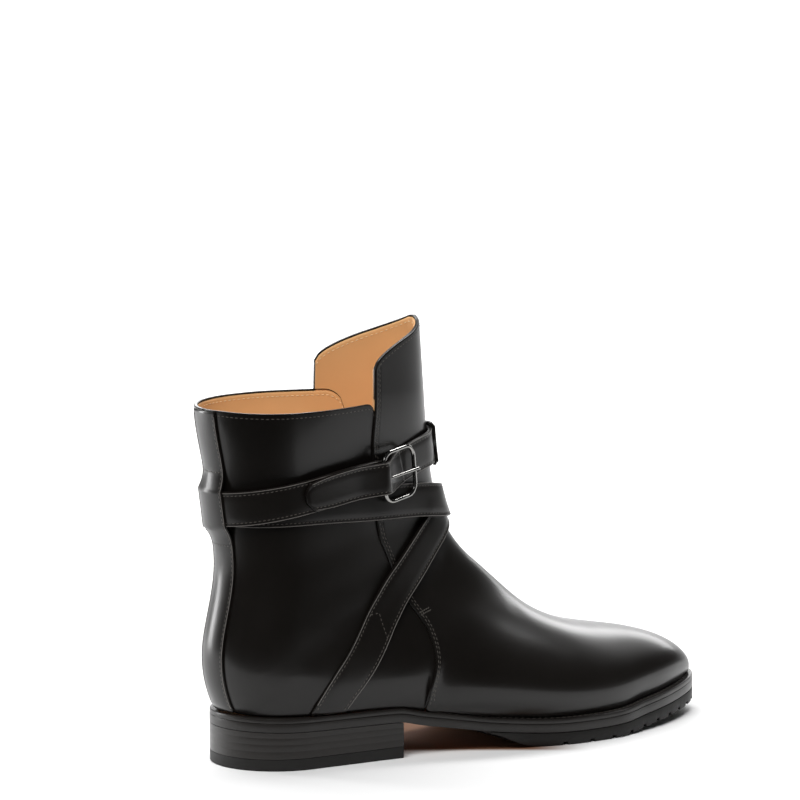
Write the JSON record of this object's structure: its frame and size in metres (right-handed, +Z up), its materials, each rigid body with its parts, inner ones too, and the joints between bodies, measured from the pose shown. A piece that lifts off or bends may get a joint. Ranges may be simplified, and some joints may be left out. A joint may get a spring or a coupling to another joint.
{
  "type": "jodhpur boot",
  "caption": "Right ankle boot in polished leather with a high pointed front, crossed wrap straps fastened by a side buckle, a low stacked heel and a lugged forefoot tread.",
  "frame": {"origin": "centre of the footprint of the boot's bounding box, on the floor under the sole", "axes": "+X from heel to toe, +Y to the inner (medial) side of this right boot, +Z up"},
  "size_m": [0.3086, 0.1064, 0.2261],
  "materials": {
    "upper_leather": "polished smooth black calf",
    "strap_leather": "polished black strap leather",
    "sole_leather": "black satin edge dressing",
    "heel_leather": "black satin edge dressing, stacked layers",
    "tread_rubber": "matt black rubber",
    "insole_leather": "tan matt lining leather",
    "buckle_metal": "dark polished plating"
  },
  "bodies": {
    "root": {"outsole": "sole_leather", "welt": "sole_leather", "insole": "insole_leather", "forefoot_tread": "tread_rubber", "heel_stack": "heel_leather", "top_lift": "tread_rubber", "upper": "upper_leather", "buckle_strap": "strap_leather", "free_strap": "strap_leather", "back_strip": "upper_leather", "front_tab": "upper_leather", "buckle_frame": "buckle_metal", "buckle_prong": "buckle_metal"}
  },
  "joints": []
}
